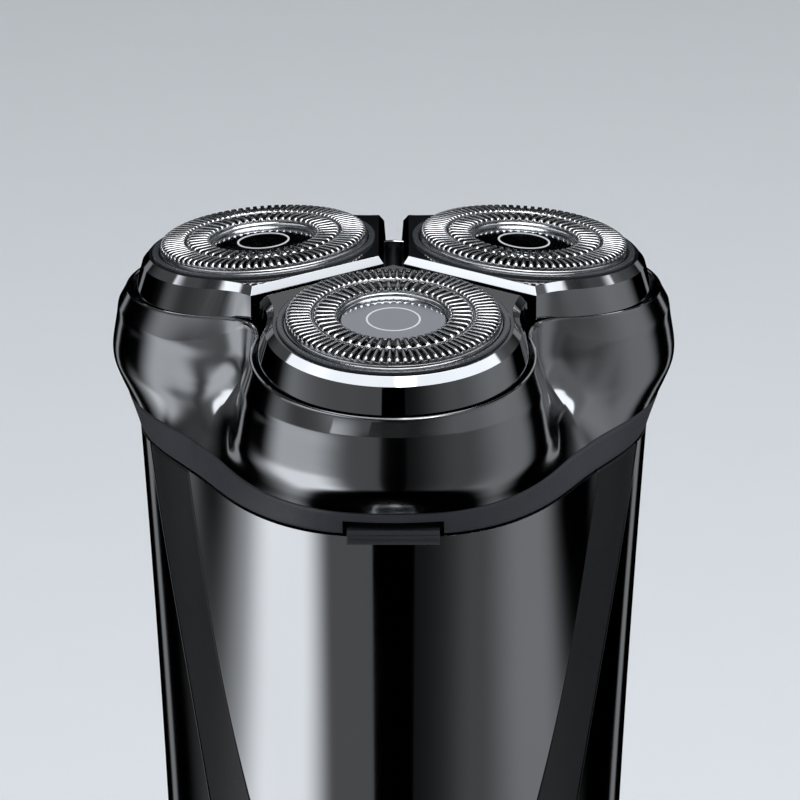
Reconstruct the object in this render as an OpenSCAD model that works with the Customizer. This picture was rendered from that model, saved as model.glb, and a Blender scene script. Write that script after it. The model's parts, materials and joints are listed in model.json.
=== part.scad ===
// Rotary electric shaver with three tilting cutters on a hinged head.
// Z is up and the front faces -Y. The origin is the centre of the base.

/* [Handle] */
// Height of the handle, from the base to the head's rim
handle_h = 135; // [130:1:140]
// Largest radius of the handle's top, at its three soft corners
neck_tip_r = 28.9; // [28.5:0.1:29]
// Smallest radius of the handle's top, at its three flats
neck_flat_r = 24.4; // [24.2:0.1:24.8]
// Radius of the round base
base_r = 24.4; // [24:0.1:25]
// Wall of the outer shells
wall = 1.8; // [1.5:0.1:2]
// Gap between neighbouring shells
seam = 0.14; // [0.1:0.01:0.2]

/* [Head] */
// Distance from the middle of the head to each cutter's centre
cutter_circle_r = 16.7; // [16.5:0.1:16.9]
// Outward tilt of each cutter
cutter_tilt = 5; // [4:0.5:6]
// Height of the cutters' centres above the handle
head_h = 20.5; // [20.2:0.1:21]
// Wall of the head shell
head_wall = 1.6; // [1.4:0.1:1.8]
// Half of the slot between neighbouring pods
slot_half = 1.2; // [1:0.1:1.4]

/* [Cutters] */
// Outer radius of a guard
guard_r = 11.45; // [11.2:0.05:11.5]
// Slots in the outer track of the modelled guard
outer_slots = 42; // [30:1:48]
// Slots in the inner track of the modelled guard
inner_slots = 24; // [18:1:30]
// Blades on each cutter
blades = 9; // [6:1:12]

/* [Drive] */
// Teeth on the motor pinion, a multiple of three
pinion_teeth = 21; // [18:3:24]
// Teeth on each spindle gear
gear_teeth = 24; // [24:1:26]
// Distance from the middle of the handle to each spindle
spindle_circle_r = 15.9; // [15.8:0.05:16]
// Radial running clearance of shafts
run_gap = 0.05; // [0.03:0.01:0.1]

/* [Hidden] */
LOBES = [0, 1, 2];

// heights
rim_z = handle_h;
shell_z = rim_z + 3.5;
lip_z = rim_z + 15.7;
cutter_z = rim_z + head_h;
shell_top_z = rim_z - 0.15;
shell_bottom_z = 2.1;
deck_top_z = rim_z - 0.4;
deck_t = 1.2;
frame_z = rim_z + 11.9;
frame_t = 1;
plate_z = rim_z + 10.2;
plate_t = 1.2;
gear_z = rim_z - 19;
gear_t = 3;
mount_plate_z = gear_z - 2;
mount_plate_t = 1.2;
hub_top_z = gear_z + 10;
motor_z = rim_z - 47;
button_z = rim_z - 61;
lens_z = button_z - 15;

// angles round the handle, counted from the front
lobe_step = 120;
valley = lobe_step / 2;
front_dir = -90;

// small shared sizes
eps = 0.01;
pin_r = 0.75;
hinge_y = neck_flat_r + 0.6;
hinge_z = rim_z;
hinge_knuckle_r = 1.6;
hinge_half_w = 8;
hinge_mid_half_w = 4;
catch_half_w = 4.85;
catch_pivot_y = -24.8;
catch_pivot_z = rim_z + 1.6;
catch_pin_r = 0.5;
pod_pivot_s = 11;
pod_pivot_w = -5.4;
pod_pin_r = 0.5;
pod_lug_half = 2.8;
pod_top_w = -1.3;
pod_under_w = -4.5;
pod_skirt_w = -5.6;
pod_skirt_inner_r = 13.4;
seat_r = 12.4;
hub_r = 3;
spindle_r = 1.8;
gear_module = 2 * spindle_circle_r / (pinion_teeth + gear_teeth);
pressure_angle = 20;

// ---------- outlines ----------

function ramp(t) = let (k = min(max(t, 0), 1)) k * k * (3 - 2 * k);

// angle between a direction and the nearest lobe's axis
function off_axis(phi) = abs((phi - front_dir + valley + 3 * lobe_step) % lobe_step - valley);

// a rounded triangle: tip radius on the lobe axes, flat radius in the valleys
function soft_r(phi, tip, flat, start = 12, end = valley) =
    tip - (tip - flat) * ramp((off_axis(phi) - start) / (end - start));

// three discs of radius a round the cutter circle, filleted to radius rv in the valleys
function fillet_r(a, rv) = let (c = cutter_circle_r)
    (a * a - c * c - rv * rv + c * rv) / (2 * rv - c - 2 * a);
function lobed_r(phi, a, rv) =
    let (c = cutter_circle_r, d = off_axis(phi), f = fillet_r(a, rv), far = rv + f,
         cx = far * cos(valley), cy = far * sin(valley), n = norm([cx - c, cy]),
         tx = c + a * (cx - c) / n, ty = a * cy / n, turn = valley - d)
    d <= atan2(ty, tx) ? c * cos(d) + sqrt(max(a * a - pow(c * sin(d), 2), 0))
                       : far * cos(turn) - sqrt(max(f * f - pow(far * sin(turn), 2), 0));

// handle outline at a height
round_h = 20;
function rise(z) = max(z - round_h, 0) / (rim_z - round_h);
function handle_r(phi, z) = soft_r(phi, base_r + (neck_tip_r - base_r) * pow(rise(z), 1.75),
                                   base_r + (neck_flat_r - base_r) * rise(z));

// half angles of the front panel and of the grip strips' outer edges, from the front
waist_drop = 58;
panel_waist = 23;
function narrowing(below) = ramp((below + 18) / 88);
function panel_edge(z) = let (below = rim_z - z)
    below < waist_drop ? 70 - (70 - panel_waist) * narrowing(below) / narrowing(waist_drop)
                       : panel_waist + 11 * ramp((below - waist_drop) / 75);
function grip_edge(z) = panel_edge(z) + 21;

// head shell: [height above the rim's top, lobe radius, valley radius, share of the soft outline]
SHELL_LEVELS = [[0, 17.1, 20.6, 1], [1.5, 17.15, 20.6, 0.6], [3, 17.1, 20, 0.25], [4.2, 16.9, 19.6, 0.06],
                [5.4, 16.7, 19.3, 0], [6.6, 16.5, 19, 0], [7.8, 16.3, 18.7, 0], [9.2, 16.1, 18.3, 0]];
saddle_r = 21.8;
funnel_from = 1.6;
funnel_rise = 6;
funnel_lean = 0.15;
rim_top_tip = neck_tip_r + 2.1;
rim_top_flat = neck_flat_r - 0.4;
rim_top_start = 8;
rim_top_end = 58;
lip_a = 15.2;
lip_rv = 18;
lip_t = 0.45;
// low on the shell the valleys are shallow saddles; a funnel opens towards the top of each
function funnel(phi, h) =
    ramp((h - funnel_from - funnel_lean * (valley - off_axis(phi))) / funnel_rise);
function wall_r(phi, h, a, rv) =
    lobed_r(phi, a, saddle_r) * (1 - funnel(phi, h)) + lobed_r(phi, a, rv) * funnel(phi, h);
function shell_r(phi, lv) = wall_r(phi, lv[0], lv[1], lv[2]) * (1 - lv[3])
                            + soft_r(phi, rim_top_tip, rim_top_flat, rim_top_start, rim_top_end) * lv[3];
function outward(phi, r) = r * cos(off_axis(phi)) - cutter_circle_r;
function lip_height(phi) = lip_z - tan(cutter_tilt) * outward(phi, lobed_r(phi, lip_a, lip_rv));

// ---------- lofts ----------

function polar(r, phi, z) = [r * cos(phi), r * sin(phi), z];

// triangles between rings of n points; closed joins the last ring to the first
function strip(n, rings, joined) =
    [for (j = [0 : rings - (joined ? 1 : 2)], i = [0 : n - 1])
        let (a = j * n + i, b = j * n + (i + 1) % n,
             c = ((j + 1) % rings) * n + (i + 1) % n, d = ((j + 1) % rings) * n + i)
        each [[a, d, b], [b, d, c]]];

// a hollow ring, its section given by rings of points that go up outside and down inside
module ring_loft(rings) {
    n = len(rings[0]);
    polyhedron(points = [for (ring = rings) each ring], faces = strip(n, len(rings), true));
}

// a solid of stacked outlines, closed by a flat face at each end
module stack_loft(rings) {
    n = len(rings[0]);
    m = len(rings);
    polyhedron(points = [for (ring = rings) each ring],
               faces = concat(strip(n, m, false), [[for (i = [0 : n - 1]) i]],
                              [[for (i = [n - 1 : -1 : 0]) (m - 1) * n + i]]));
}

// a curved wall panel of the handle between two edges, given by functions of height
module wall_panel(z0, z1, rows, cols, first, last, thick) {
    n = 2 * (cols + 1);
    rings = [for (j = [0 : rows]) let (z = z0 + (z1 - z0) * j / rows, p = first(z), q = last(z))
        concat([for (i = [0 : cols]) let (phi = p + (q - p) * i / cols) polar(handle_r(phi, z), phi, z)],
               [for (i = [cols : -1 : 0]) let (phi = p + (q - p) * i / cols)
                   polar(handle_r(phi, z) - thick, phi, z)])];
    cap = [for (i = [0 : cols - 1]) each [[i, i + 1, n - 2 - i], [i, n - 2 - i, n - 1 - i]]];
    top = [for (t = cap) [for (k = [2 : -1 : 0]) t[k] + rows * n]];
    polyhedron(points = [for (ring = rings) each ring], faces = concat(strip(n, rows + 1, false), cap, top));
}

// a round wire wound as a helix, ends closed
module coil(r, wire, z0, z1, turns, steps = 12, sides = 6) {
    total = turns * steps;
    rings = [for (k = [0 : total])
        let (phi = 360 * k / steps, z = z0 + wire + (z1 - z0 - 2 * wire) * k / total)
        [for (q = [0 : sides - 1]) let (t = 360 * q / sides)
            polar(r + wire * cos(t), phi, z + wire * sin(t))]];
    polyhedron(points = [for (ring = rings) each ring],
               faces = concat([for (t = strip(sides, total + 1, false)) [t[2], t[1], t[0]]],
                              [[for (i = [sides - 1 : -1 : 0]) i]],
                              [[for (i = [0 : sides - 1]) total * sides + i]]));
}

// ---------- places ----------

module at_lobe(i) rotate([0, 0, lobe_step * i]) translate([0, -cutter_circle_r, cutter_z])
    rotate([cutter_tilt, 0, 0]) children();
module at_spindle(i) rotate([0, 0, lobe_step * i]) translate([0, -spindle_circle_r, 0]) children();
module tube(r_out, r_in, h) difference() {
    cylinder(r = r_out, h = h, $fn = 64);
    translate([0, 0, -eps]) cylinder(r = r_in, h = h + 2 * eps, $fn = 64);
}
module along_x(x0, x1, r) translate([x0, 0, 0]) rotate([0, 90, 0]) cylinder(r = r, h = x1 - x0, $fn = 32);
module block(x, y, z) translate([x[0], y[0], z[0]]) cube([x[1] - x[0], y[1] - y[0], z[1] - z[0]]);

// ---------- handle ----------

gap_deg = seam / base_r * 180 / PI;
module rear_shell() color("#2b2d33") difference() {
    wall_panel(shell_bottom_z, shell_top_z, 18, 44,
               function(z) front_dir + grip_edge(z) + gap_deg,
               function(z) front_dir + 360 - grip_edge(z) - gap_deg, wall);
    block([-hinge_half_w - 0.4, hinge_half_w + 0.4], [20, 30], [rim_z - 2.2, rim_z + 2]);
}
module front_panel() color("#55585f") difference() {
    wall_panel(shell_bottom_z, shell_top_z, 24, 22,
               function(z) front_dir - panel_edge(z), function(z) front_dir + panel_edge(z), wall);
    translate([0, -18, button_z]) rotate([90, 0, 0]) cylinder(r = 6.8, h = 15, $fn = 64);
    translate([0, -18, lens_z]) rotate([90, 0, 0]) cylinder(r = 1.5, h = 15, $fn = 48);
}
module grip(side) wall_panel(shell_bottom_z, shell_top_z, 24, 6,
    function(z) front_dir + (side > 0 ? panel_edge(z) + gap_deg : -grip_edge(z)),
    function(z) front_dir + (side > 0 ? grip_edge(z) : -panel_edge(z) - gap_deg), wall);
module left_grip() color("#26272b") grip(-1);
module right_grip() color("#26272b") grip(1);

socket_w = 9;
socket_d = 3.3;
module stadium(w, d) union() {
    square([w - d, d], center = true);
    for (s = [-1, 1]) translate([s * (w - d) / 2, 0]) circle(d = d, $fn = 32);
}
module base_cap() color("#1d1e21") difference() {
    union() {
        rotate_extrude($fn = 96) polygon([[0, 0], [base_r - 2, 0], [base_r - 0.6, 0.5], [base_r - 0.1, 1.4],
                                          [base_r - 0.1, 2], [0, 2]]);
        cylinder(r = base_r - wall - 0.3, h = 4.4, $fn = 96);
    }
    translate([0, 0, -1]) linear_extrude(7) stadium(socket_w + 0.2, socket_d + 0.2);
    translate([0, 0, 2]) cylinder(r = base_r - 2 * wall - 0.6, h = 5, $fn = 96);
}
module charging_socket() color("#9a9ca0") translate([0, 0, 0.5]) difference() {
    linear_extrude(7.4) stadium(socket_w, socket_d);
    translate([0, 0, -eps]) linear_extrude(6.2) stadium(socket_w - 0.7, socket_d - 0.7);
}

// the deck that closes the handle under the head
spindle_hole_r = 3.4;
screw_circle_r = 18.6;
module deck_outline(inset) polygon([for (k = [0 : 3 : 357]) let (r = handle_r(k, deck_top_z) - inset)
    [r * cos(k), r * sin(k)]]);
module top_deck() color("#3a3c41") translate([0, 0, deck_top_z - deck_t]) difference() {
    union() {
        linear_extrude(deck_t) deck_outline(wall + 0.1);
        for (i = LOBES) at_spindle(i) cylinder(r = spindle_hole_r + 1.4, h = deck_t + 1.8, $fn = 48);
    }
    for (i = LOBES) {
        at_spindle(i) translate([0, 0, -1]) cylinder(r = spindle_hole_r, h = 6, $fn = 48);
        rotate([0, 0, lobe_step * i + valley]) translate([0, -screw_circle_r, -1])
            cylinder(r = 0.95, h = 4, $fn = 32);
    }
    block([-3.4, 3.4], [-30, -24.7], [-1, 4]);
    block([-hinge_half_w - 0.02, hinge_half_w + 0.02], [hinge_y - 3.42, 30], [-1, 4]);
}
module deck_seal() color("#141517") translate([0, 0, deck_top_z + 0.02]) tube(21.5, 20.8, 0.33);
module deck_screws() color("silver") for (i = LOBES) rotate([0, 0, lobe_step * i + valley])
    translate([0, -screw_circle_r, deck_top_z + 0.02]) difference() {
        union() {
            cylinder(r1 = 1.7, r2 = 1.4, h = 0.9, $fn = 32);
            translate([0, 0, -7]) cylinder(r = 0.85, h = 7.1, $fn = 32);
        }
        for (a = [0, 90]) rotate([0, 0, a]) translate([-0.9, -0.2, 0.4]) cube([1.8, 0.4, 1]);
    }

// frame that carries the motor, the gears and the battery
post_r = 2.1;
foot_z = 9;
module chassis() color("#6f7278") difference() {
    union() {
        translate([0, 0, mount_plate_z]) cylinder(r = 22, h = mount_plate_t, $fn = 96);
        for (i = LOBES) rotate([0, 0, lobe_step * i + valley])
            translate([0, -screw_circle_r, mount_plate_z + eps])
                cylinder(r = post_r, h = deck_top_z - deck_t - mount_plate_z - 0.05, $fn = 48);
        block([-9, 9], [13.2, 14.8], [foot_z, mount_plate_z + eps]);
        translate([0, 0, foot_z]) cylinder(r = 20, h = 1.4, $fn = 96);
        block([-9, 9], [7.6, 13.3], [battery_z - 1.6, battery_z - 0.2]);
    }
    translate([0, 0, mount_plate_z - 1]) cylinder(r = 3.2, h = 5, $fn = 48);
    for (i = LOBES) {
        at_spindle(i) translate([0, 0, mount_plate_z - 1]) cylinder(r = hub_r + run_gap, h = 5, $fn = 48);
        rotate([0, 0, lobe_step * i + valley]) translate([0, -screw_circle_r, deck_top_z - 7.4])
            cylinder(r = 0.9, h = 9, $fn = 32);
    }
    translate([0, 0, foot_z - 1]) linear_extrude(4) stadium(socket_w + 2, socket_d + 2);
}
motor_shaft_r = 1;
module motor() color("#a3a6aa") translate([0, 0, motor_z]) difference() {
    union() {
        cylinder(r = 12, h = mount_plate_z - motor_z - 1, $fn = 96);
        cylinder(r = 3.1, h = mount_plate_z - motor_z + 0.9, $fn = 48);
        translate([0, 0, -2]) cylinder(r = 4.5, h = 2.1, $fn = 48);
    }
    translate([0, 0, 6]) cylinder(r = motor_shaft_r + run_gap, h = 40, $fn = 48);
}
battery_z = 28;
module battery() color("#2f6fb0") translate([0, 0, battery_z]) union() {
    cylinder(r = 7.1, h = 49, $fn = 96);
    translate([0, 0, 48.9]) cylinder(r = 2.6, h = 1.2, $fn = 48);
}
board_y = -16;
module circuit_board() color("#1f6b3c") union() {
    block([-9, 9], [board_y - 1.2, board_y], [24, 86]);
    for (z = [32, 44, 52]) block([-5, 5], [board_y - eps, board_y + 1.8], [z, z + 5]);
    translate([0, board_y - 1.1, lens_z]) rotate([90, 0, 0]) cylinder(r = 1.2, h = 2.4, $fn = 32);
}
module power_switch() color("#d0d2d4") translate([0, board_y - 1.25, button_z]) union() {
    block([-3, 3], [-1.9, 0], [-3, 3]);
    rotate([90, 0, 0]) cylinder(r = 1.4, h = 2.4, $fn = 48);
}
button_travel = 0.6;
button_front_y = -26.3;
module power_button() color("#3d4046") translate([0, 0, button_z]) rotate([90, 0, 0]) difference() {
    union() {
        translate([0, 0, 23.4]) cylinder(r = 6.3, h = -button_front_y - 23.4 - 0.5, $fn = 96);
        translate([0, 0, -button_front_y - 0.5 - eps]) cylinder(r1 = 6.3, r2 = 5.8, h = 0.5, $fn = 96);
        translate([0, 0, 20.4]) cylinder(r = 1.6, h = 3.2, $fn = 48);
    }
    translate([0, 0, -button_front_y - 0.25]) cylinder(r1 = 4.4, r2 = 4.8, h = 1, $fn = 96);
}
module button_bezel() color("silver") translate([0, 0, button_z]) rotate([90, 0, 0])
    translate([0, 0, 23.2]) difference() {
        union() {
            cylinder(r = 6.75, h = 3.2, $fn = 96);
            translate([0, 0, 2.74]) cylinder(r = 7.5, h = 0.46, $fn = 96);
        }
        translate([0, 0, -1]) cylinder(r = 6.4, h = 6, $fn = 96);
    }
module indicator_lens() color("white") translate([0, -22.6, lens_z]) rotate([90, 0, 0])
    cylinder(r = 1.45, h = 2.5, $fn = 48);

// hinge at the back of the head
module hinge_knuckle(x0, x1, bore) difference() {
    along_x(x0, x1, hinge_knuckle_r);
    along_x(x0 - 1, x1 + 1, bore);
}
module hinge_handle_leaf() color("#3a3c41") translate([0, hinge_y, hinge_z]) for (s = [-1, 1]) difference() {
    union() {
        along_x(s > 0 ? 4.2 : -hinge_half_w, s > 0 ? hinge_half_w : -4.2, hinge_knuckle_r);
        translate([s > 0 ? 4.2 : -hinge_half_w, -3.4, -2.1]) cube([hinge_half_w - 4.2, 3.9, 1.6]);
    }
    along_x(-20, 20, pin_r);
}
module hinge_head_leaf() color("#3a3c41") translate([0, hinge_y, hinge_z]) difference() {
    union() {
        along_x(-hinge_mid_half_w, hinge_mid_half_w, hinge_knuckle_r);
        translate([-hinge_mid_half_w, -3.4, 0.35]) cube([2 * hinge_mid_half_w, 4, 1.25]);
    }
    along_x(-20, 20, pin_r + run_gap);
}
module hinge_pin() color("silver") translate([0, hinge_y, hinge_z])
    along_x(-hinge_half_w, hinge_half_w, pin_r);

// ---------- gear train ----------

function involute(r, base) = r <= base ? 0 : let (t = acos(base / r)) tan(t) * 180 / PI - t;
module spur(teeth, phase) {
    pitch = gear_module * teeth / 2;
    base = pitch * cos(pressure_angle);
    root = pitch - 1.2 * gear_module;
    tip = pitch + 0.92 * gear_module;
    half = 0.43 * 180 / teeth;
    steps = 4;
    radii = [for (k = [0 : steps]) let (r0 = max(base, root)) r0 + (tip - r0) * k / steps];
    function lean(r) = half + involute(pitch, base) - involute(r, base);
    polygon([for (t = [0 : teeth - 1]) let (mid = phase + 360 * t / teeth)
        each concat([[root * cos(mid - lean(base) - 0.6), root * sin(mid - lean(base) - 0.6)]],
                    [for (r = radii) [r * cos(mid - lean(r)), r * sin(mid - lean(r))]],
                    [for (k = [steps : -1 : 0]) let (r = radii[k])
                        [r * cos(mid + lean(r)), r * sin(mid + lean(r))]],
                    [[root * cos(mid + lean(base) + 0.6), root * sin(mid + lean(base) + 0.6)]])]);
}
module drive_pinion() color("gold") union() {
    translate([0, 0, gear_z]) linear_extrude(gear_t) spur(pinion_teeth, front_dir);
    translate([0, 0, motor_z + 6.5]) cylinder(r = motor_shaft_r, h = gear_z - motor_z - 6, $fn = 48);
}
module drive_gear(i) color("ivory") at_spindle(i) difference() {
    union() {
        translate([0, 0, gear_z]) linear_extrude(gear_t) spur(gear_teeth, -front_dir + 180 / gear_teeth);
        translate([0, 0, mount_plate_z]) cylinder(r = hub_r, h = hub_top_z - mount_plate_z, $fn = 64);
    }
    translate([0, 0, gear_z - 0.5]) cylinder(r = spindle_r + run_gap, h = 20, $fn = 64);
}
spindle_tip_z = rim_z + 9.6;
collar_z = rim_z - 3.4;
module spindle(i) color("silver") at_spindle(i) union() {
    translate([0, 0, gear_z + 4]) cylinder(r = spindle_r, h = spindle_tip_z - gear_z - 4 - 2.3, $fn = 64);
    translate([0, 0, collar_z]) cylinder(r = 2.8, h = 1, $fn = 64);
    translate([0, 0, spindle_tip_z - 2.4]) cylinder(r = 1.6, h = 1.4, $fn = 6);
    translate([0, 0, spindle_tip_z - 1.01]) cylinder(r1 = 1.35, r2 = 0.8, h = 1.01, $fn = 32);
}
module spindle_spring(i) color("silver") at_spindle(i) coil(2.35, 0.25, hub_top_z + 0.05, collar_z - 0.05, 5);

// ---------- head ----------

ring_steps = 72;
function ring_of(f) = [for (k = [0 : ring_steps - 1]) f(360 * k / ring_steps)];
module head_shell() color("#4a4d54") ring_loft(concat(
    [for (lv = SHELL_LEVELS) ring_of(function(phi) polar(shell_r(phi, lv), phi, shell_z + lv[0]))],
    [for (edge = [[-0.05, 0.15], [0.08, 0], [lip_t, 0], [lip_t, 1.6]])
        ring_of(function(phi) polar(lobed_r(phi, lip_a, lip_rv) - edge[0], phi, lip_height(phi) - edge[1]))],
    [for (k = [len(SHELL_LEVELS) - 1 : -1 : 0]) let (lv = SHELL_LEVELS[k])
        ring_of(function(phi) polar(shell_r(phi, lv) - head_wall, phi,
                                    shell_z + lv[0] - (k == len(SHELL_LEVELS) - 1 ? 1.2 : 0)))]));
function neck_ring(inset, z) =
    ring_of(function(phi) polar(soft_r(phi, neck_tip_r, neck_flat_r) - inset, phi, z));
function rim_top_ring(inset, z) =
    ring_of(function(phi)
        polar(soft_r(phi, rim_top_tip, rim_top_flat, rim_top_start, rim_top_end) - inset, phi, z));
module head_rim() color("#2e3035") difference() {
    ring_loft([neck_ring(0, rim_z + 0.1), rim_top_ring(0.12, shell_z - 0.25),
               rim_top_ring(0.25, shell_z - 0.05), rim_top_ring(1.9, shell_z - 0.05),
               neck_ring(1.6, rim_z + 0.1)]);
    block([-hinge_half_w - 0.4, hinge_half_w + 0.4], [20, 30], [rim_z - 1, rim_z + 1.65]);
    block([-catch_half_w - 0.45, catch_half_w + 0.45], [-32, -24], [rim_z - 1, rim_z + 2.1]);
}
module lobed_outline(a, rv)
    polygon([for (k = [0 : 3 : 357]) let (r = lobed_r(k, a, rv)) [r * cos(k), r * sin(k)]]);
pod_pivot_z = cutter_z - pod_pivot_s * sin(cutter_tilt) + pod_pivot_w * cos(cutter_tilt);
module head_frame() color("#5d6066") difference() {
    union() {
        translate([0, 0, frame_z]) linear_extrude(frame_t) difference() {
            lobed_outline(14.1, 16);
            for (i = LOBES) rotate([0, 0, lobe_step * i])
                translate([0, -cutter_circle_r + 0.8]) circle(r = 9.4, $fn = 96);
        }
        for (i = LOBES, s = [-1, 1]) at_lobe(i) translate([s * 3.6, -pod_pivot_s, pod_pivot_w]) union() {
            along_x(-0.6, 0.6, 0.9);
            translate([-0.6, -0.9, -1.6]) cube([1.2, 1.8, 1.6]);
        }
        translate([0, 0, plate_z - 2.9]) cylinder(r = 2, h = frame_z - plate_z + 3, $fn = 48);
    }
    for (i = LOBES) at_lobe(i) translate([0, -pod_pivot_s, pod_pivot_w]) along_x(-9, 9, pod_pin_r + 0.02);
}
module pod_hinge_pins() color("silver") for (i = LOBES) at_lobe(i)
    translate([0, -pod_pivot_s, pod_pivot_w]) along_x(-4.3, 4.3, pod_pin_r);
module retaining_plate() color("#c9cbcf") translate([0, 0, plate_z]) linear_extrude(plate_t) difference() {
    union() {
        for (i = LOBES) rotate([0, 0, lobe_step * i]) translate([0, -15.7]) circle(r = 10.6, $fn = 96);
        circle(r = 8, $fn = 96);
    }
    for (i = LOBES) rotate([0, 0, lobe_step * i]) translate([0, -15.7]) circle(r = 7.6, $fn = 96);
    circle(r = 2.3, $fn = 48);
}
module lock_knob() color("#8d9096") translate([0, 0, plate_z - 2.8]) difference() {
    union() {
        cylinder(r = 4.6, h = 1.1, $fn = 64);
        cylinder(r = 3.4, h = 2.7, $fn = 64);
        block([-5.4, 5.4], [-1.1, 1.1], [0, 1.6]);
    }
    translate([0, 0, -1]) cylinder(r = 2.06, h = 5, $fn = 48);
}
module catch() color("#26282c") difference() {
    union() {
        block([-catch_half_w, catch_half_w], [-30.1, -29.1], [rim_z - 0.4, rim_z + 1.2]);
        block([-4.5, 4.5], [-29.2, -24.8], [rim_z + 0.25, rim_z + 1.2]);
        block([-3, 3], [-25.75, -25.15], [rim_z - 2.3, rim_z + 0.3]);
        block([-3, 3], [-25.2, -24.4], [rim_z - 2.3, rim_z - 1.75]);
        for (s = [-1, 1]) translate([0, catch_pivot_y, catch_pivot_z])
            along_x(s > 0 ? 1.5 : -4.5, s > 0 ? 4.5 : -1.5, 1);
    }
    translate([0, catch_pivot_y, catch_pivot_z]) along_x(-9, 9, catch_pin_r + run_gap);
    translate([0, catch_pivot_y, catch_pivot_z]) along_x(-1.5, 1.5, 1.5);
}
module catch_pin() color("silver")
    translate([0, catch_pivot_y, catch_pivot_z]) along_x(-5.6, 5.6, catch_pin_r);
module catch_spring() color("silver") translate([-1.3, catch_pivot_y, catch_pivot_z]) rotate([0, 90, 0])
    coil(0.8, 0.16, 0, 2.6, 4);

// ---------- cutter pods ----------

// outline of a pod on its own level: a wedge with its tip at the head's middle
pod_arc_steps = 28;
function pod_ring(a, rv, inset, w) =
    let (edge = valley - asin((slot_half + inset) / rv), tip = (slot_half + inset) / sin(valley))
    concat([[0, cutter_circle_r - tip, w]],
           [for (k = [0 : pod_arc_steps]) let (d = -edge + 2 * edge * k / pod_arc_steps, phi = front_dir + d,
                                          r = lobed_r(phi, a, rv))
               [r * cos(phi), r * sin(phi) + cutter_circle_r, w]]);
module pod(i) color("#202227") at_lobe(i) difference() {
    union() {
        difference() {
            stack_loft([pod_ring(14.55, 17.3, 0, pod_skirt_w), pod_ring(14.55, 17.3, 0, pod_under_w - 0.4),
                        pod_ring(13.55, 17.1, 0, pod_top_w - 0.85), pod_ring(13.4, 17, 0.1, pod_top_w - 0.7),
                        pod_ring(12.75, 16.5, 0.55, pod_top_w)]);
            translate([0, 0, pod_skirt_w - 1])
                cylinder(r = pod_skirt_inner_r, h = pod_under_w - pod_skirt_w + 1, $fn = 96);
        }
        translate([0, -pod_pivot_s, pod_pivot_w]) along_x(-pod_lug_half, pod_lug_half, 0.9);
        block([-pod_lug_half, pod_lug_half], [-pod_pivot_s - 0.9, -pod_pivot_s + 0.9],
              [pod_pivot_w, pod_under_w + eps]);
    }
    translate([0, 0, -2.75]) cylinder(r = seat_r, h = 5, $fn = 96);
    translate([0, 0, -9]) cylinder(r = 9.2, h = 9, $fn = 96);
    translate([0, -pod_pivot_s, pod_pivot_w]) along_x(-9, 9, pod_pin_r + run_gap);
}
module seat_ring(i) color("#3b4046") at_lobe(i)
    translate([0, 0, -2.7]) tube(seat_r - 0.02, guard_r + 0.2, 1.75);

module slots(count, r0, r1, width) for (k = [0 : count - 1]) rotate([0, 0, 360 * (k + 0.5) / count])
    translate([r0, -width / 2]) square([r1 - r0, width]);
module guard(i) color("#c3c6ca") at_lobe(i) union() {
    rotate_extrude($fn = 120) polygon([
        [guard_r - 0.5, -2.6], [guard_r, -2.6], [guard_r, -1.3], [guard_r + 0.12, -1.3],
        [guard_r + 0.12, -1.1], [guard_r, -1.1], [guard_r, -0.35], [guard_r - 0.35, 0], [guard_r - 0.5, 0]]);
    rotate_extrude($fn = 96)
        polygon([[0, -1.55], [5.95, -1.55], [5.95, 0], [5.6, 0], [5.6, -1.1], [0, -1.1]]);
    translate([0, 0, -0.5]) linear_extrude(0.5) difference() {
        circle(r = guard_r - 0.4, $fn = 96);
        circle(r = 5.8, $fn = 96);
        slots(outer_slots, 8.95, 10.75, 0.42);
        slots(inner_slots, 6.25, 8.3, 0.42);
    }
}
module guard_cap(i) color("#17181b") at_lobe(i) translate([0, 0, -1.08]) rotate_extrude($fn = 96)
    polygon([[0, 0], [5.55, 0], [5.55, 0.2], [3.1, 0.2], [3.1, 0.32], [2.8, 0.32], [2.8, 0.2], [0, 0.2]]);

// rotating cutter: carrier ring, blades and a hexagonal drive socket
module cutter(i) color("#b5b8bd") at_lobe(i) difference() {
    union() {
        translate([0, 0, -2.6]) cylinder(r = 10.6, h = 0.6, $fn = 96);
        for (k = [0 : blades - 1]) rotate([0, 0, 360 * k / blades])
            for (track = [[6.2, 8.2], [9, 10.6]]) block(track, [-0.25, 0.25], [-2.1, -0.7]);
        translate([0, 0, -12.2]) cylinder(r = 3.2, h = 9.7, $fn = 64);
    }
    translate([0, 0, -12.3]) cylinder(r = 2.75, h = 2.9, $fn = 6);
    for (k = [0 : 5]) rotate([0, 0, 60 * k]) translate([4.9, 0, -3]) cylinder(r = 1.2, h = 2, $fn = 32);
}

rear_shell();
front_panel();
left_grip();
right_grip();
base_cap();
top_deck();
deck_seal();
deck_screws();
chassis();
motor();
battery();
circuit_board();
power_switch();
power_button();
button_bezel();
indicator_lens();
charging_socket();
hinge_handle_leaf();
hinge_pin();
drive_pinion();
head_shell();
head_rim();
hinge_head_leaf();
head_frame();
retaining_plate();
lock_knob();
catch();
catch_pin();
catch_spring();
pod_hinge_pins();
for (i = LOBES) {
    drive_gear(i);
    spindle(i);
    spindle_spring(i);
    pod(i);
    guard(i);
    guard_cap(i);
    seat_ring(i);
    cutter(i);
}
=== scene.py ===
"""Electric shaver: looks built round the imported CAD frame. The helpers work in millimetres."""
import json
import math

import bmesh
import bpy
from mathutils import Matrix, Vector


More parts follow.
